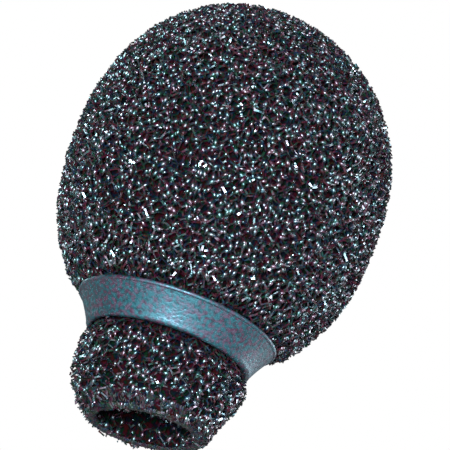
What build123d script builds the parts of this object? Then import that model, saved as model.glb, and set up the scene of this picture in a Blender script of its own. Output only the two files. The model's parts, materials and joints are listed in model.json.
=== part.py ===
from build123d import *
import os

# Foam windscreen for a miniature microphone. Millimetres. Z is the microphone's
# axis: the mouth it enters is at z = 0 and the rounded tip is at the top.

MIC_RADIUS = 2.65

BODY_LENGTH = 26.1
HEAD_RADIUS = 9.25
HEAD_EQUATOR_Z = 15.4
HEAD_FULLNESS = 0.58
SKIRT_RADIUS = 4.85
SKIRT_EQUATOR_Z = 3.8
MOUTH_RADIUS = 3.2
MOUTH_DEPTH = 0.3
BORE_SHOULDER_Z = 12.9
BORE_END_Z = 14.6

BAND_BOTTOM_Z = 4.85
BAND_TOP_Z = 6.8
BAND_BOTTOM_RADIUS = 4.86
BAND_TOP_RADIUS = 5.77
BAND_THICKNESS = 0.42
BAND_EDGE_ROUNDING = 0.14
LIP_RADIUS = 0.14

COLLAR_BOTTOM_Z = 3.9
COLLAR_TOP_Z = 7.4
COLLAR_WALL = 0.4
COLLAR_CHAMFER = 0.12
RIB_HEIGHT = 0.18
RIB_WIDTH = 0.45


def turned(outline):
    """Turns an outline of (radius, height) points about Z into a solid."""
    return revolve(Plane.XZ * outline, Axis.Z)


# Band: a conical ring of soft rubber that flares upward with the foam. Its outer
# corners are rounded, and a thin rolled lip runs round the top.
seat_bottom = BAND_BOTTOM_RADIUS - BAND_THICKNESS
seat_top = BAND_TOP_RADIUS - BAND_THICKNESS
ring = make_face(
    Polyline(
        (seat_bottom, BAND_BOTTOM_Z),
        (BAND_BOTTOM_RADIUS, BAND_BOTTOM_Z),
        (BAND_TOP_RADIUS, BAND_TOP_Z),
        (seat_top, BAND_TOP_Z),
        close=True,
    )
)
outer_corners = [v for v in ring.vertices() if v.X in (BAND_BOTTOM_RADIUS, BAND_TOP_RADIUS)]
ring = fillet(outer_corners, BAND_EDGE_ROUNDING)
lip = Pos(BAND_TOP_RADIUS - 0.07, BAND_TOP_Z - LIP_RADIUS) * Circle(LIP_RADIUS)
retaining_band = turned(ring + lip)

# Collar: a thin hard sleeve inside the neck. The band clamps the foam onto it, two
# low ribs keep the foam from creeping, and its inside grips the microphone.
collar_radius = MIC_RADIUS + COLLAR_WALL
sleeve = Pos((MIC_RADIUS + collar_radius) / 2, (COLLAR_BOTTOM_Z + COLLAR_TOP_Z) / 2) * Rectangle(
    COLLAR_WALL, COLLAR_TOP_Z - COLLAR_BOTTOM_Z
)
sleeve = chamfer(sleeve.vertices().group_by(Axis.X)[-1], COLLAR_CHAMFER)


def rib(height):
    """A low V-shaped rib round the sleeve, centred on a height."""
    root = collar_radius - COLLAR_WALL / 2
    return make_face(
        Polyline(
            (root, height - RIB_WIDTH / 2),
            (collar_radius, height - RIB_WIDTH / 2),
            (collar_radius + RIB_HEIGHT, height),
            (collar_radius, height + RIB_WIDTH / 2),
            (root, height + RIB_WIDTH / 2),
            close=True,
        )
    )


mic_collar = turned(sleeve + rib(BAND_BOTTOM_Z + 0.4) + rib(BAND_TOP_Z - 0.4))

# Foam: one piece, with an egg-shaped head, a neck squeezed by the band and a short
# bulb-shaped skirt below it, rolled inward to the mouth. The microphone's bore ends in a
# dome inside the head.
crease_z = BAND_BOTTOM_Z - 0.06
head_height = BODY_LENGTH - HEAD_EQUATOR_Z
bore_dome = BORE_END_Z - BORE_SHOULDER_Z
foam_outline = [
    Bezier(
        (MOUTH_RADIUS, 0),
        (MOUTH_RADIUS + 0.15, 0),
        (SKIRT_RADIUS, 0.45 * SKIRT_EQUATOR_Z),
        (SKIRT_RADIUS, SKIRT_EQUATOR_Z),
    ),
    Bezier(
        (SKIRT_RADIUS, SKIRT_EQUATOR_Z),
        (SKIRT_RADIUS, 0.5 * (SKIRT_EQUATOR_Z + crease_z)),
        (BAND_BOTTOM_RADIUS - 0.1, crease_z),
        (seat_bottom, crease_z),
    ),
    Polyline(
        (seat_bottom, crease_z),
        (seat_bottom, BAND_BOTTOM_Z),
        (seat_top, BAND_TOP_Z),
    ),
    Bezier(
        (seat_top, BAND_TOP_Z),
        (7.9, BAND_TOP_Z + 1.0),
        (HEAD_RADIUS, 10.4),
        (HEAD_RADIUS, HEAD_EQUATOR_Z),
    ),
    Bezier(
        (HEAD_RADIUS, HEAD_EQUATOR_Z),
        (HEAD_RADIUS, HEAD_EQUATOR_Z + HEAD_FULLNESS * head_height),
        (HEAD_FULLNESS * HEAD_RADIUS, BODY_LENGTH),
        (0, BODY_LENGTH),
    ),
    Line((0, BODY_LENGTH), (0, BORE_END_Z)),
    Bezier(
        (0, BORE_END_Z),
        (0.55 * MIC_RADIUS, BORE_END_Z),
        (MIC_RADIUS, BORE_SHOULDER_Z + 0.55 * bore_dome),
        (MIC_RADIUS, BORE_SHOULDER_Z),
    ),
    Line((MIC_RADIUS, BORE_SHOULDER_Z), (MIC_RADIUS, MOUTH_DEPTH)),
    Bezier(
        (MIC_RADIUS, MOUTH_DEPTH),
        (MIC_RADIUS, 0.45 * MOUTH_DEPTH),
        (MOUTH_RADIUS - 0.3, 0),
        (MOUTH_RADIUS, 0),
    ),
]
foam_body = turned(make_face(foam_outline)) - mic_collar

os.makedirs("parts", exist_ok=True)
export_step(foam_body, "parts/foam_body.step")
export_step(retaining_band, "parts/retaining_band.step")
export_step(mic_collar, "parts/mic_collar.step")
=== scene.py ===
import bpy
import json
import math
import numpy as np
from mathutils import Matrix, Vector


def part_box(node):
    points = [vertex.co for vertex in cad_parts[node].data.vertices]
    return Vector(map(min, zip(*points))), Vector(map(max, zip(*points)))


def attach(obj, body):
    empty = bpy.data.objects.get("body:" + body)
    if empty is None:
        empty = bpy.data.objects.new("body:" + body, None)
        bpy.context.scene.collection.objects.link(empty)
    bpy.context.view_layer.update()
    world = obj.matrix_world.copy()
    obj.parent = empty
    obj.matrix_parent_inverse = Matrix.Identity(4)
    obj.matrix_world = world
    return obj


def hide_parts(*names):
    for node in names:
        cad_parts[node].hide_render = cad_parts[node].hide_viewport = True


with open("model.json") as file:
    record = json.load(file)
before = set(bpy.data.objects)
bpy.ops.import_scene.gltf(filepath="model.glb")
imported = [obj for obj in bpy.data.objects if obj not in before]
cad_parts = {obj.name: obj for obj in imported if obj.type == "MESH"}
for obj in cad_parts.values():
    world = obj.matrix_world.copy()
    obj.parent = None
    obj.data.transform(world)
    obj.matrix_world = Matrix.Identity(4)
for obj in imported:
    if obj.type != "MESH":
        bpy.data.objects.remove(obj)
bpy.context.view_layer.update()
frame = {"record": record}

MM = 0.001

# Sizes that the CAD gives (mm)
_, foam_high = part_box("foam_body")
band_low, band_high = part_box("retaining_band")
collar_low, collar_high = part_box("mic_collar")
MIC_R = next(m for m in frame["record"]["mounts"] if m["name"] == "mic_bore")["dims"]["r_mm"]
LENGTH = foam_high[2] / MM
HEAD_R = foam_high[0] / MM
BAND_Z0, BAND_Z1 = band_low[2] / MM, band_high[2] / MM
BAND_MID, BAND_HALF = 0.5 * (BAND_Z0 + BAND_Z1), 0.5 * (BAND_Z1 - BAND_Z0)
COLLAR_Z0, COLLAR_Z1 = collar_low[2] / MM, collar_high[2] / MM

# The rest of the outline, the same as the CAD's (mm)
SKIRT_R, SKIRT_Z = 4.85, 3.8
HEAD_Z, HEAD_FULLNESS = 15.4, 0.58
HEAD_FLARE, HEAD_TURN_Z = (7.9, 1.0), 10.4      # curve handles: beside and above the band, and at full width
MOUTH_R, MOUTH_Z = 3.2, 0.3
BAND_R0, BAND_R1, BAND_T = 4.86, 5.77, 0.42
BORE_LINE_Z = COLLAR_Z0 + 0.1       # the foam's own bore wall ends just above the sleeve's lower edge

# How far the soft foam strays from that outline (mm, tilts as slopes)
SKIRT_BULGE, SKIRT_LEAN = 0.22, 0.44
MOUTH_LEAN, MOUTH_TILT = 0.72, (0.09, -0.06)
SAG_DROP, SAG_SWELL, SAG_LEFT = 0.45, 0.02, 0.6
HEAD_BULGE, HEAD_LEAN, CROWN_DROP = 0.2, 0.28, 0.12
GATHER, GATHER_REACH = 0.2, 1.5     # share by which the cells narrow round the neck, and how far from it

# The foam's cells (mm)
CELL = 0.72
JITTER = 0.2                        # shake of each cell's centre, in cells
REACH = 0.85                        # depth of the open cells
FINE_DEPTH = 0.35                   # struts nearer the surface than this get a waist
TRIM = (-0.14, -0.02)               # where the cut ends of the struts stop, short of the surface
SHORTEST = 0.05
STRUT_R, CUT_R, WAIST_R = 0.062, 0.048, 0.045
STRUT_SPREAD = (0.85, 1.2)
GLOSSY = 0.35                       # share of the struts that shine
KNOT_DEPTH = (0.16, 0.8)
KNOT_RANK = 0.61                    # share of the corners that have no swelling
KNOT_R, KNOT_GROWTH, KNOT_STRETCH = 0.125, 0.17, 2.2
KNOT_FLATNESS = 0.85                # how far the swellings lie down under the surface
RISE = (0.25, 0.0, 1.4)             # the way most swellings are drawn out
BAND_SHADE_CLEAR = 0.5                    # painted shade: nothing shines this close to the band, so the foam beside it stays dark
SECTORS, SPLIT_Z = 8, 14.0          # the foam is made in slices of the turn, below and above this height

rng = np.random.default_rng(11)


# ---------------------------------------------------------------- outlines (mm)

def bezier(p, n):
    t = np.linspace(0, 1, n)[:, None]
    p = np.array(p, float)
    return (1 - t) ** 3 * p[0] + 3 * (1 - t) ** 2 * t * p[1] + 3 * (1 - t) * t ** 2 * p[2] + t ** 3 * p[3]


def outer_outline():
    """(radius, height) down the bore's mouth, round the skirt, through the neck and over the head."""
    crease = BAND_Z0 - 0.06
    head = LENGTH - HEAD_Z
    neck0, neck1 = BAND_R0 - BAND_T, BAND_R1 - BAND_T
    runs = [
        [(MIC_R, BORE_LINE_Z), (MIC_R, MOUTH_Z)],
        bezier([(MIC_R, MOUTH_Z), (MIC_R, 0.45 * MOUTH_Z), (MOUTH_R - 0.3, 0), (MOUTH_R, 0)], 10),
        bezier([(MOUTH_R, 0), (MOUTH_R + 0.15, 0), (SKIRT_R, 0.45 * SKIRT_Z), (SKIRT_R, SKIRT_Z)], 24),
        bezier([(SKIRT_R, SKIRT_Z), (SKIRT_R, 0.5 * (SKIRT_Z + crease)), (BAND_R0 - 0.1, crease),
                (neck0, crease)], 14),
        [(neck0, BAND_Z0), (neck1, BAND_Z1)],
        bezier([(neck1, BAND_Z1), (HEAD_FLARE[0], BAND_Z1 + HEAD_FLARE[1]), (HEAD_R, HEAD_TURN_Z),
                (HEAD_R, HEAD_Z)], 40),
        bezier([(HEAD_R, HEAD_Z), (HEAD_R, HEAD_Z + HEAD_FULLNESS * head),
                (HEAD_FULLNESS * HEAD_R, LENGTH), (0, LENGTH)], 50),
    ]
    pts = np.concatenate([np.array(r, float) for r in runs])
    keep = np.r_[True, np.linalg.norm(np.diff(pts, axis=0), axis=1) > 1e-6]
    return pts[keep]


OUTER = outer_outline()


class Depth:
    """Depth under the foam's surface at any (radius, height), looked up in a grid: positive inside."""

    step = 0.1
    bottom = -1.0
    margin = 1.5

    def __init__(self):
        rs = np.arange(0.0, HEAD_R + self.margin, self.step)
        zs = np.arange(self.bottom, LENGTH + self.margin, self.step)
        g = np.stack(np.meshgrid(rs, zs, indexing="ij"), -1).reshape(-1, 2)
        a, b = OUTER[:-1], OUTER[1:]
        ab = b - a
        nearest = np.full(len(g), 1e9)
        for i in range(len(a)):
            t = np.clip(((g - a[i]) @ ab[i]) / (ab[i] @ ab[i]), 0, 1)
            nearest = np.minimum(nearest, np.linalg.norm(g - a[i] - t[:, None] * ab[i], axis=1))
        ring = np.vstack([OUTER, [(0, BORE_LINE_Z)]])
        inside = np.zeros(len(g), bool)
        for p, q in zip(ring, np.roll(ring, -1, axis=0)):
            crosses = (p[1] > g[:, 1]) != (q[1] > g[:, 1])
            rise = np.where(q[1] == p[1], 1e-9, q[1] - p[1])
            at = (q[0] - p[0]) * (g[:, 1] - p[1]) / rise + p[0]
            inside ^= crosses & (g[:, 0] < at)
        bore = (g[:, 0] < MIC_R) & (g[:, 1] < BORE_LINE_Z)
        self.grid = np.where(inside & ~bore, nearest, -nearest).reshape(len(rs), len(zs))

    def __call__(self, p):
        n, m = self.grid.shape
        r = np.clip(np.hypot(p[:, 0], p[:, 1]) / self.step, 0, n - 1.001)
        z = np.clip((p[:, 2] - self.bottom) / self.step, 0, m - 1.001)
        i, j = r.astype(int), z.astype(int)
        u, v = r - i, z - j
        g = self.grid
        return (g[i, j] * (1 - u) * (1 - v) + g[i + 1, j] * u * (1 - v)
                + g[i, j + 1] * (1 - u) * v + g[i + 1, j + 1] * u * v)


depth = Depth()


def skew(p):
    """Soft foam is never quite round: the skirt leans to one side of the stiff neck, its mouth the
    other way, the foam sags over the band's two sides, and the head leans a little."""
    q = p.copy()
    x, y, z = p[:, 0], p[:, 1], p[:, 2]
    r = np.hypot(x, y)
    side = x / np.maximum(r, 1e-6)
    right = np.clip(side, 0, 1)
    low = np.clip((SKIRT_Z - z) / SKIRT_Z, 0, 1)
    below_band = np.clip((BAND_Z0 - z) / (BAND_Z0 - SKIRT_Z), 0, 1)
    q[:, 0] += SKIRT_BULGE * right * below_band - SKIRT_LEAN * low
    near_mouth = 1 - np.clip((r - 3.4) / 1.2, 0, 1)
    q[:, 0] += MOUTH_LEAN * low ** 2 * near_mouth
    q[:, 2] += low * (MOUTH_TILT[0] * x + MOUTH_TILT[1] * y)
    over_band = np.exp(-((z - BAND_Z1 - 0.5) / 0.9) ** 2)
    sag = np.where(side > 0, 1.0, SAG_LEFT) * side ** 2 * over_band
    q[:, 2] -= SAG_DROP * sag
    q[:, :2] *= (1 + SAG_SWELL * sag)[:, None]
    q[:, 0] += HEAD_BULGE * right * np.exp(-((z - 20.5) / 5) ** 2)
    q[:, 2] -= CROWN_DROP * np.clip((z - 20) / 6, 0, 1) ** 2
    q[:, 0] -= HEAD_LEAN * (np.clip(z - 9, 0, None) / 16) ** 2
    return q


# ---------------------------------------------------------------- foam network

def gather(p):
    """The band gathers the foam: its cells are narrower round the neck."""
    s = 1 - GATHER * np.exp(-((p[:, 2] - BAND_MID) / GATHER_REACH) ** 2)
    q = p.copy()
    q[:, :2] *= s[:, None]
    return q


def foam_network():
    """Cell corners and struts of a random open-cell foam: the corners are the centres of the
    spheres through each four neighbouring cells of a shaken body-centred lattice."""
    spread = 1.3
    lo = np.array([-HEAD_R * spread, -HEAD_R * spread, -1.0])
    n = np.ceil(np.array([2 * spread * HEAD_R, 2 * spread * HEAD_R, LENGTH + 2]) / CELL).astype(int) + 2
    shakes = rng.uniform(-1, 1, (2, *n, 3)) * JITTER * CELL

    def cell(ijk):
        """Place of a cell's centre given in quarter cells: all multiples of four, or two more."""
        kind = (ijk[:, 0] % 4 == 2).astype(int)
        k = np.clip((ijk - 2 * kind[:, None]) // 4, 0, n - 1)
        return ijk * CELL / 4 + shakes[kind, k[:, 0], k[:, 1], k[:, 2]]

    axes = [np.arange(4, 4 * (m - 2)) for m in n]
    corner_sets = []
    for odd, others in enumerate(((1, 2), (0, 2), (0, 1))):
        for zero, two in (others[::-1], others):
            pick = [None] * 3
            pick[odd] = axes[odd][axes[odd] % 2 == 1]
            pick[zero] = axes[zero][axes[zero] % 4 == 0]
            pick[two] = axes[two][axes[two] % 4 == 2]
            g = np.stack(np.meshgrid(*pick, indexing="ij"), -1).reshape(-1, 3)
            rough_depth = depth(gather(lo + g * CELL / 4))
            g = g[(rough_depth > -1.2 * CELL) & (rough_depth < REACH + CELL)]
            toward = np.where(g[:, odd] % 4 == 1, -1, 1)
            around = []
            for axis, sign in ((two, 1), (zero, -1)):
                for k in (-2, 2):
                    q = g.copy()
                    q[:, axis] += k
                    q[:, odd] += sign * toward
                    around.append(cell(q))
            first, rest = around[0], around[1:]
            a = np.stack([w - first for w in rest], 1)
            b = 0.5 * np.stack([(w ** 2).sum(1) - (first ** 2).sum(1) for w in rest], 1)
            centre = np.linalg.solve(a, b[..., None])[..., 0]
            home = g * CELL / 4
            away = centre - home
            far = np.linalg.norm(away, axis=1, keepdims=True)
            corner_sets.append((g, home + away * np.minimum(1, 0.45 * CELL / np.maximum(far, 1e-9))))
    g = np.concatenate([c[0] for c in corner_sets])
    corners = gather(lo + np.concatenate([c[1] for c in corner_sets]))
    big = 8 * int(n.max())
    key = (g[:, 0] * big + g[:, 1]) * big + g[:, 2]
    order = np.argsort(key)
    corners, key = corners[order], key[order]
    pairs = []
    for step in ((1, 1, 0), (1, -1, 0), (1, 0, 1), (1, 0, -1), (0, 1, 1), (0, 1, -1)):
        want = key + (step[0] * big + step[1]) * big + step[2]
        at = np.clip(np.searchsorted(key, want), 0, len(key) - 1)
        hit = np.where(key[at] == want)[0]
        pairs.append(np.stack([hit, at[hit]], 1))
    return corners, np.concatenate(pairs)


def struts(p, q, r0, r1, waist, turn, rings):
    """Three-sided struts from p to q, closed at both ends, thinner at the waist if they have three
    rings of points."""
    axis = q - p
    length = np.linalg.norm(axis, axis=1, keepdims=True)
    axis = axis / length
    ref = np.where(np.abs(axis[:, 2:3]) < 0.8, [[0, 0, 1.0]], [[1.0, 0, 0]])
    e1 = np.cross(axis, ref)
    e1 /= np.linalg.norm(e1, axis=1, keepdims=True)
    e2 = np.cross(axis, e1)
    verts = []
    stations = ((0, r0), (0.5, waist), (1, r1)) if rings == 3 else ((0, r0), (1, r1))
    for t, r in stations:
        for k in range(3):
            a = turn + k * 2 * math.pi / 3
            out = np.cos(a)[:, None] * e1 + np.sin(a)[:, None] * e2
            verts.append(p + axis * length * t + r[:, None] * out)
    last = 3 * (rings - 1)
    quads = [[b + k, b + (k + 1) % 3, b + 3 + (k + 1) % 3, b + 3 + k]
             for b in range(0, last, 3) for k in range(3)]
    caps = [[2, 1, 0], [last, last + 1, last + 2]]
    return np.stack(verts, 1), np.array(quads), np.array(caps)


def knots(c, r):
    """Rounded swellings where struts meet: octahedra drawn out under the surface, mostly along the
    rise of the foam."""
    outward = c.copy()
    outward[:, 2] = np.where(c[:, 2] > BAND_Z1, 0.8 * np.clip(c[:, 2] - HEAD_Z, -4, None), 0)
    outward /= np.linalg.norm(outward, axis=1, keepdims=True)
    u = rng.normal(size=(len(c), 3)) + RISE
    u -= KNOT_FLATNESS * (u * outward).sum(1, keepdims=True) * outward
    u /= np.linalg.norm(u, axis=1, keepdims=True)
    v = np.cross(u, rng.normal(size=(len(c), 3)))
    v /= np.linalg.norm(v, axis=1, keepdims=True)
    w = np.cross(u, v)
    r = r[:, None]
    tip = KNOT_STRETCH * u * r
    pts = np.stack([c + tip, c - tip, c + v * r, c - v * r, c + w * r, c - w * r], 1)
    tri = [(0, 2, 4), (2, 1, 4), (1, 3, 4), (3, 0, 4), (2, 0, 5), (1, 2, 5), (3, 1, 5), (0, 3, 5)]
    return pts, np.array(tri)


def mesh_object(name, verts, faces_by_size, smooth=False):
    """A mesh from points in mm and arrays of faces, each array with one number of corners."""
    me = bpy.data.meshes.new(name)
    loops = np.concatenate([f.ravel() for f in faces_by_size]).astype(np.int32)
    sizes = np.concatenate([np.full(len(f), f.shape[1]) for f in faces_by_size])
    starts = np.r_[0, np.cumsum(sizes)[:-1]].astype(np.int32)
    me.vertices.add(len(verts))
    me.vertices.foreach_set("co", (verts * MM).astype(np.float32).ravel())
    me.loops.add(len(loops))
    me.loops.foreach_set("vertex_index", loops)
    me.polygons.add(len(sizes))
    me.polygons.foreach_set("loop_start", starts)
    me.polygons.foreach_set("use_smooth", np.full(len(sizes), smooth))
    me.update(calc_edges=True)
    me.validate()
    ob = bpy.data.objects.new(name, me)
    bpy.context.scene.collection.objects.link(ob)
    return ob


# Painted shade: where the foam beside the band is kept from shining
def in_band_shade(p):
    return np.abs(p[:, 2] - BAND_MID) < BAND_HALF + BAND_SHADE_CLEAR


def in_bore(p, clear):
    """Whether points are in the bore, or nearer to its wall than clear."""
    return (np.hypot(p[:, 0], p[:, 1]) < MIC_R + clear) & (p[:, 2] < HEAD_Z)


def slice_of(p):
    angle = np.arctan2(p[:, 1], p[:, 0]) / (2 * math.pi) + 0.5
    return (np.floor(angle * SECTORS).astype(int) % SECTORS) + SECTORS * (p[:, 2] > SPLIT_Z)


def build_foam():
    """The open cells as one object for each slice, with material 0 on the dull struts, 1 on the
    glossy ones and 2 on the swellings."""
    corners, pairs = foam_network()
    d = depth(corners)
    a, b = pairs[:, 0], pairs[:, 1]
    swap = d[a] < d[b]
    a, b = np.where(swap, b, a), np.where(swap, a, b)
    trim = rng.uniform(*TRIM, len(a))
    da, db = d[a] + trim, d[b] + trim
    keep = (da > 0) & (db < REACH)
    a, b, da, db = a[keep], b[keep], da[keep], db[keep]
    cut = db < 0
    t = np.where(cut, da / np.maximum(da - db, 1e-6), 1.0)
    p = corners[a]
    q = p + (corners[b] - p) * t[:, None]
    keep = np.linalg.norm(q - p, axis=1) > SHORTEST
    p, q, cut, fine = skew(p[keep]), skew(q[keep]), cut[keep], db[keep] < FINE_DEPTH
    n = len(p)
    base = rng.uniform(*STRUT_SPREAD, n)
    r0 = STRUT_R * base
    r1 = np.where(cut, CUT_R, STRUT_R) * base
    waist = WAIST_R * base
    turn = rng.uniform(0, 2 * math.pi, n)
    mid = 0.5 * (p + q)
    # Painted shade: struts in the bore and beside the band are never glossy, so these recesses read dark
    glossy = (rng.uniform(0, 1, n) < GLOSSY) & ~in_bore(mid, 0.25) & ~in_band_shade(mid)
    group = slice_of(mid)

    use = np.zeros(len(corners), bool)
    use[a] = use[b] = True
    rank = rng.uniform(0, 1, len(corners))
    use &= (d > KNOT_DEPTH[0]) & (d < KNOT_DEPTH[1]) & (rank > KNOT_RANK)
    # Painted shade: no swellings in the bore or beside the band, which keeps them dark
    use &= ~in_band_shade(corners) & ~in_bore(corners, 0.1)
    knot = skew(corners)[use]
    knot_r = KNOT_R + KNOT_GROWTH * (rank[use] - KNOT_RANK)
    knot_group = slice_of(knot)

    made = []
    for g in range(2 * SECTORS):
        parts, quad_faces, tri_faces, quad_looks, tri_looks, at = [], [], [], [], [], 0
        for rings in (3, 2):
            pick = (group == g) & (fine if rings == 3 else ~fine)
            if not pick.any():
                continue
            v, quads, caps = struts(p[pick], q[pick], r0[pick], r1[pick], waist[pick], turn[pick], rings)
            start = at + v.shape[1] * np.arange(len(v))[:, None, None]
            quad_faces.append((quads[None] + start).reshape(-1, 4))
            tri_faces.append((caps[None] + start).reshape(-1, 3))
            quad_looks.append(np.repeat(glossy[pick], len(quads)))
            tri_looks.append(np.repeat(glossy[pick], len(caps)))
            parts.append(v.reshape(-1, 3))
            at += v.shape[0] * v.shape[1]
        pick = knot_group == g
        v, tri = knots(knot[pick], knot_r[pick])
        tri_faces.append((tri[None] + at + v.shape[1] * np.arange(len(v))[:, None, None]).reshape(-1, 3))
        tri_looks.append(np.full(len(tri) * len(v), 2))
        parts.append(v.reshape(-1, 3))
        ob = mesh_object(f"foam_cells_{g:02d}", np.concatenate(parts), quad_faces + tri_faces)
        looks = np.concatenate(quad_looks + tri_looks).astype(np.int32)
        ob.data.polygons.foreach_set("use_smooth", looks == 2)
        ob.data.polygons.foreach_set("material_index", looks)
        made.append(ob)
    return made


def revolve(name, outline, around, closed=False, shape=None, smooth=True):
    """A lathe mesh from (radius, height) points; shape may move the points afterwards."""
    outline = np.array(outline, float)
    n = len(outline)
    a = np.linspace(0, 2 * math.pi, around, endpoint=False)
    v = np.stack([outline[:, None, 0] * np.cos(a), outline[:, None, 0] * np.sin(a),
                  np.repeat(outline[:, 1:2], around, 1)], -1)
    if shape is not None:
        v = shape(v, a)
    i = np.arange(n if closed else n - 1)[:, None]
    j = np.arange(around)[None]
    i2, j2 = (i + 1) % n, (j + 1) % around
    corners = (i * around + j, i * around + j2, i2 * around + j2, i2 * around + j)
    f = np.stack(np.broadcast_arrays(*corners), -1)
    return mesh_object(name, v.reshape(-1, 3), [f.reshape(-1, 4)], smooth)


# ---------------------------------------------------------------- materials

# Stops of colour ramps on a noise value: maroon, near black and teal
FOAM_TONES = [(0.36, (0.0160, 0.0014, 0.0042)), (0.5, (0.0028, 0.0030, 0.0040)),
              (0.64, (0.0003, 0.0082, 0.0098))]
# Painted shade: tones of the near-black core under the cells, darker than the struts
PAINTED_SHADE_CORE_TONES = [(0.38, (0.0085, 0.0005, 0.0018)), (0.5, (0.0009, 0.0009, 0.0012)),
              (0.62, (0.0001, 0.0034, 0.0036))]
RIM_TONES = [(0.38, (0.0110, 0.0012, 0.0045)), (0.5, (0.0030, 0.0032, 0.0042)),
             (0.62, (0.0010, 0.0090, 0.0105))]
BAND_TONES = [(0.40, (0.0200, 0.0022, 0.0075)), (0.5, (0.0040, 0.0040, 0.0056)),
              (0.60, (0.0004, 0.0140, 0.0160))]
# Violet to olive, multiplied into the tones
FOAM_CASTS = [(0.40, (1.0, 0.3, 1.0)), (0.60, (0.9, 1.0, 0.25))]
SHEEN_TONES = [(0.38, (1.0, 0.76, 0.90)), (0.5, (0.88, 0.94, 1.0)), (0.62, (0.60, 0.97, 1.0))]
SLEEVE_TONES = [(0.3, (0.001, 0.001, 0.0013)), (0.7, (0.003, 0.003, 0.0034))]
FLOOR_TONES = [(0.3, (0.84, 0.85, 0.86)), (0.7, (0.88, 0.89, 0.9))]


def material(name, colour, roughness, **sockets):
    m = bpy.data.materials.new(name)
    m.use_nodes = True
    inputs = m.node_tree.nodes["Principled BSDF"].inputs
    inputs["Base Color"].default_value = (*colour, 1)
    inputs["Roughness"].default_value = roughness
    for k, v in sockets.items():
        inputs[k.replace("_", " ")].default_value = v
    m.diffuse_color = (*colour, 1)
    return m


def drive(m, socket, source):
    m.node_tree.links.new(source, m.node_tree.nodes["Principled BSDF"].inputs[socket])


def ramp(m, fac, stops):
    n = m.node_tree.nodes.new("ShaderNodeValToRGB")
    e = n.color_ramp.elements
    while len(e) < len(stops):
        e.new(0.5)
    for k, (at, colour) in enumerate(stops):
        e[k].position = at
        e[k].color = (*colour, 1)
    m.node_tree.links.new(fac, n.inputs["Fac"])
    return n.outputs["Color"]


def grey_ramp(m, fac, start, end):
    """From one grey to another, each given as (position, value)."""
    return ramp(m, fac, [(at, (value,) * 3) for at, value in (start, end)])


def noise(m, scale, detail=2.0, stretch=None):
    nt = m.node_tree
    coords = next((n for n in nt.nodes if n.type == "TEX_COORD"), None) or nt.nodes.new("ShaderNodeTexCoord")
    vector = coords.outputs["Object"]
    if stretch:
        mapping = nt.nodes.new("ShaderNodeMapping")
        mapping.inputs["Scale"].default_value = stretch
        nt.links.new(vector, mapping.inputs["Vector"])
        vector = mapping.outputs["Vector"]
    n = nt.nodes.new("ShaderNodeTexNoise")
    n.inputs["Scale"].default_value = scale
    n.inputs["Detail"].default_value = detail
    n.inputs["Roughness"].default_value = 0.5
    nt.links.new(vector, n.inputs["Vector"])
    return n


def mottle(m, scale, tones, casts):
    """A dark colour that drifts between maroon and teal, and a little between olive and violet.
    Gives the colour and the noise value behind its main drift."""
    nt = m.node_tree
    split = nt.nodes.new("ShaderNodeSeparateColor")
    nt.links.new(noise(m, scale).outputs["Color"], split.inputs["Color"])
    mix = nt.nodes.new("ShaderNodeMix")
    mix.data_type = "RGBA"
    mix.blend_type = "MULTIPLY"
    mix.inputs["Factor"].default_value = 1.0
    tone_in, cast_in = [i for i in mix.inputs if i.type == "RGBA"]
    nt.links.new(ramp(m, split.outputs["Red"], tones), tone_in)
    nt.links.new(ramp(m, split.outputs["Green"], casts), cast_in)
    return next(o for o in mix.outputs if o.type == "RGBA"), split.outputs["Red"]


def foam_material(name, roughness, **sockets):
    """Black struts with a cast that drifts between maroon, teal and blue, and duller stretches."""
    m = material(name, (0.0025, 0.0027, 0.003), 0.5, **sockets)
    colour, drift = mottle(m, 3800.0, FOAM_TONES, FOAM_CASTS)
    drive(m, "Base Color", colour)
    drive(m, "Specular Tint", ramp(m, drift, SHEEN_TONES))
    dull = noise(m, 1700.0).outputs["Fac"]
    drive(m, "Roughness", grey_ramp(m, dull, (0.42, roughness[0]), (0.58, roughness[1])))
    return m


strut_m = foam_material("foam_struts", (0.5, 0.7), Specular_IOR_Level=0.09)
gloss_m = foam_material("foam_gloss", (0.25, 0.4), IOR=1.7)
knot_m = foam_material("foam_knots", (0.34, 0.46), IOR=1.7)

# Painted shade: the core's near-black colour and faint sheen stand in for the darkness deep among the cells
# and in the bore
painted_shade_core_m = material("foam_core", (0.0003, 0.0003, 0.0003), 0.9, Specular_IOR_Level=0.02)
drive(painted_shade_core_m, "Base Color", mottle(painted_shade_core_m, 3400.0, PAINTED_SHADE_CORE_TONES, FOAM_CASTS)[0])

rim_m = material("foam_rim", (0.008, 0.009, 0.011), 0.55, Specular_IOR_Level=0.15)
drive(rim_m, "Base Color", mottle(rim_m, 3600.0, RIM_TONES, FOAM_CASTS)[0])

band_m = material("band_rubber", (0.010, 0.022, 0.030), 0.6, Specular_IOR_Level=0.62,
                  Specular_Tint=(0.46, 0.82, 1.0, 1))
drive(band_m, "Base Color", ramp(band_m, noise(band_m, 4000.0).outputs["Fac"], BAND_TONES))
grain = noise(band_m, 4200.0, stretch=(1, 1, 1.6)).outputs["Fac"]
drive(band_m, "Roughness", grey_ramp(band_m, grain, (0.38, 0.37), (0.62, 0.70)))
bump = band_m.node_tree.nodes.new("ShaderNodeBump")
bump.inputs["Strength"].default_value = 0.8
bump.inputs["Distance"].default_value = 0.00003
band_m.node_tree.links.new(grain, bump.inputs["Height"])
drive(band_m, "Normal", bump.outputs["Normal"])

collar_m = material("sleeve_plastic", (0.012, 0.012, 0.014), 0.45)
drive(collar_m, "Base Color", ramp(collar_m, noise(collar_m, 700.0, 3.0).outputs["Fac"], SLEEVE_TONES))

floor_m = material("floor", (0.86, 0.87, 0.88), 0.8)
drive(floor_m, "Base Color", ramp(floor_m, noise(floor_m, 8.0, 3.0).outputs["Fac"], FLOOR_TONES))


# ---------------------------------------------------------------- pieces

foam_pieces = build_foam()


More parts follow.
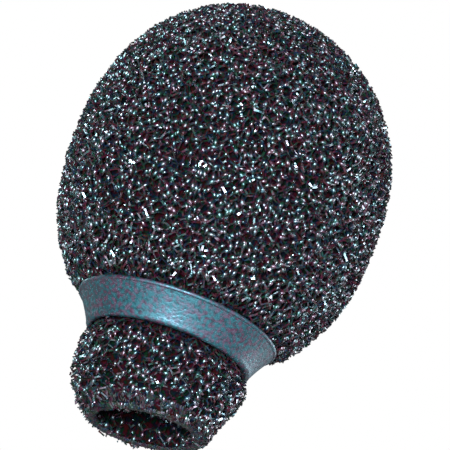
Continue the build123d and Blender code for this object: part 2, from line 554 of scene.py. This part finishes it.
def core_outline():
    """Down the bore's wall and round the sleeve, then up the outside under the open cells."""
    bore_top, bottom, top = LENGTH - 13.5, 0.4, LENGTH - 0.85
    seat, throat = MIC_R + 0.42, MIC_R + 0.4
    line = [(MIC_R, bore_top), (MIC_R, COLLAR_Z1), (seat, COLLAR_Z1), (seat, COLLAR_Z0),
            (throat, COLLAR_Z0), (throat, bottom)]
    rs = np.linspace(0.0, HEAD_R, 400)
    for z in np.linspace(bottom, top, 140):
        wanted = np.interp(z, [0.4, 1.0, 2.5, 6.5, 8.0], [0.25, 0.4, 0.6, 0.6, 0.75])
        deep = rs[depth(np.stack([rs, 0 * rs, z + 0 * rs], 1)) > wanted]
        thinnest = MIC_R + 0.45 if z < 8 else 0.02
        line.append((deep.max() if len(deep) else thinnest, z))
    return line + [(0.01, top)]


def roughen(v, a):
    """Ragged like torn cells, and leaning with the rest of the foam."""
    out = v.copy()
    k = rng.normal(0, 0.07, v.shape[:2])
    out[..., 0] += k * np.cos(a)
    out[..., 1] += k * np.sin(a)
    return skew(out.reshape(-1, 3)).reshape(v.shape)


# A near-black solid under the open cells: painted shade standing in for the dark depths of the foam and of
# the bore
core = revolve("foam_core", core_outline(), 180, shape=roughen)

# The moulded rim round the mouth, where the foam has a closed skin
skin = np.array([p for p in OUTER if p[1] < 0.9 and p[0] < SKIRT_R][1:])
along = np.gradient(skin, axis=0)
inward = np.stack([-along[:, 1], along[:, 0]], 1) / np.linalg.norm(along, axis=1, keepdims=True)
under = np.linspace(0.1, 0.35, len(skin))[:, None]
rim = revolve("foam_rim", skin + inward * under, 420, shape=roughen)

# The band: a slightly hollow flaring face with a rounded lower edge, a rolled lip and a flat inside
HOLLOW, EDGE, FACE_CUT = 0.05, 0.24, 0.42
LIP_R, LIP_IN, LIP_DOWN = 0.13, 0.06, 0.14
face = [(BAND_R0 + (BAND_R1 - BAND_R0) * s - HOLLOW * math.sin(math.pi * s),
         BAND_Z0 + EDGE + (BAND_Z1 - BAND_Z0 - FACE_CUT) * s) for s in np.linspace(0, 1, 15)]
lip = [(BAND_R1 - LIP_IN + LIP_R * math.cos(a), BAND_Z1 - LIP_DOWN + LIP_R * math.sin(a))
       for a in np.linspace(-1.2, 2.6, 12)]
back = [(BAND_R1 - BAND_T, BAND_Z1 - 0.05), (BAND_R0 - BAND_T, BAND_Z0 + 0.05)]
bottom = [(BAND_R0 - BAND_T + 0.08, BAND_Z0), (BAND_R0 - 0.2, BAND_Z0), (BAND_R0 - 0.1, BAND_Z0 + 0.04),
          (BAND_R0 - 0.03, BAND_Z0 + 0.12)]
band = revolve("neck_band", face + lip + back + bottom, 256, closed=True)

# The sleeve inside the neck, with its outer edges bevelled
SLEEVE_T, BEVEL_T, BEVEL_H = 0.4, 0.28, 0.12
collar = revolve("mic_sleeve", [
    (MIC_R, COLLAR_Z0), (MIC_R + BEVEL_T, COLLAR_Z0), (MIC_R + SLEEVE_T, COLLAR_Z0 + BEVEL_H),
    (MIC_R + SLEEVE_T, COLLAR_Z1 - BEVEL_H), (MIC_R + BEVEL_T, COLLAR_Z1), (MIC_R, COLLAR_Z1),
], 128, closed=True, smooth=False)

dressed = [(core, [painted_shade_core_m], "foam"), (rim, [rim_m], "foam"), (band, [band_m], "band_rubber"),
           (collar, [collar_m], "sleeve_plastic")]
dressed += [(ob, [strut_m, gloss_m, knot_m], "foam") for ob in foam_pieces]
for ob, materials, slot in dressed:
    for m in materials:
        ob.data.materials.append(m)
    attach(ob, "root")
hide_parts("foam_body")
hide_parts("retaining_band")
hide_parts("mic_collar")


# ---------------------------------------------------------------- camera

PICTURE = 450                       # width and height of the picture, in its own points
POINT = 0.057 * MM                  # what one point covers at the part
DISTANCE = 2600                     # from camera to part, in points
MIDDLE_AT = (216.0, 214.7)          # where the part's middle falls in the picture, from the top left
PITCH, ROLL = math.radians(19.8), math.radians(19.66)
SENSOR = 36

centre = Vector((0, 0, 13.51 * MM))
view_dir = Vector((0, math.cos(PITCH), math.sin(PITCH)))
level, upright = Vector((1, 0, 0)), Vector((0, -math.sin(PITCH), math.cos(PITCH)))
right = level * math.cos(ROLL) + upright * math.sin(ROLL)
up = upright * math.cos(ROLL) - level * math.sin(ROLL)
cam = bpy.data.cameras.new("camera")
cam.sensor_width = SENSOR
cam.lens = SENSOR * DISTANCE / PICTURE
cam.clip_start = 0.005
cam.clip_end = 10
camera = bpy.data.objects.new("camera", cam)
bpy.context.scene.collection.objects.link(camera)
aim = (centre + right * (PICTURE / 2 - MIDDLE_AT[0]) * POINT
       - up * (PICTURE / 2 - MIDDLE_AT[1]) * POINT)
turned = Matrix((right, up, -view_dir)).transposed().to_4x4()
camera.matrix_world = Matrix.Translation(aim - view_dir * DISTANCE * POINT) @ turned
bpy.context.scene.camera = camera


# ---------------------------------------------------------------- studio

# White paper behind the part, and a dim room that lights it
world = bpy.data.worlds.new("world")
bpy.context.scene.world = world
world.use_nodes = True
nt = world.node_tree
room = nt.nodes["Background"]
room.inputs["Color"].default_value = (0.9, 0.96, 1.0, 1)
room.inputs["Strength"].default_value = 0.07
paper = nt.nodes.new("ShaderNodeBackground")
paper.inputs["Color"].default_value = (1, 1, 1, 1)
paper.inputs["Strength"].default_value = 1.0
ray = nt.nodes.new("ShaderNodeLightPath")
choose = nt.nodes.new("ShaderNodeMixShader")
nt.links.new(ray.outputs["Is Camera Ray"], choose.inputs[0])
nt.links.new(room.outputs[0], choose.inputs[1])
nt.links.new(paper.outputs[0], choose.inputs[2])
nt.links.new(choose.outputs[0], nt.nodes["World Output"].inputs["Surface"])
bpy.context.scene.view_settings.view_transform = "Standard"


def softbox(name, at, size, power, colour):
    lamp = bpy.data.lights.new(name, "AREA")
    lamp.shape = "DISK"
    lamp.size = size
    lamp.energy = power
    lamp.color = colour
    ob = bpy.data.objects.new(name, lamp)
    bpy.context.scene.collection.objects.link(ob)
    ob.location = at
    ob.rotation_euler = (centre - Vector(at)).to_track_quat("-Z", "Y").to_euler()


key_at = centre - view_dir * 0.2 - right * 0.02 + up * 0.03
fill_at = centre - view_dir * 0.08 + right * 0.14 - up * 0.02
softbox("key", key_at, 0.06, 2.9, (0.74, 0.93, 1.0))
softbox("fill", fill_at, 0.05, 0.26, (0.80, 0.86, 1.0))
softbox("back_left", (-0.16, 0.13, 0.10), 0.06, 0.52, (0.60, 0.98, 1.0))
softbox("back_right", (0.17, 0.12, 0.04), 0.08, 0.48, (0.80, 0.92, 1.0))
softbox("top", (0.02, 0.04, 0.28), 0.1, 0.3, (0.85, 0.95, 1.0))

# The floor, well below, has a sun of its own
FLOOR_Z, FLOOR_HALF = -220.0, 2500.0
floor_corners = [(x * FLOOR_HALF, y * FLOOR_HALF, FLOOR_Z) for x, y in ((-1, -1), (1, -1), (1, 1), (-1, 1))]
floor = mesh_object("floor", np.array(floor_corners), [np.array([[0, 1, 2, 3]])])
floor.data.materials.append(floor_m)
wash = bpy.data.lights.new("floor_wash", "SUN")
wash.energy = 1.5
wash.angle = 0.5
wash_ob = bpy.data.objects.new("floor_wash", wash)
bpy.context.scene.collection.objects.link(wash_ob)
only_floor = bpy.data.collections.new("floor_only")
only_floor.objects.link(floor)
wash_ob.light_linking.receiver_collection = only_floor
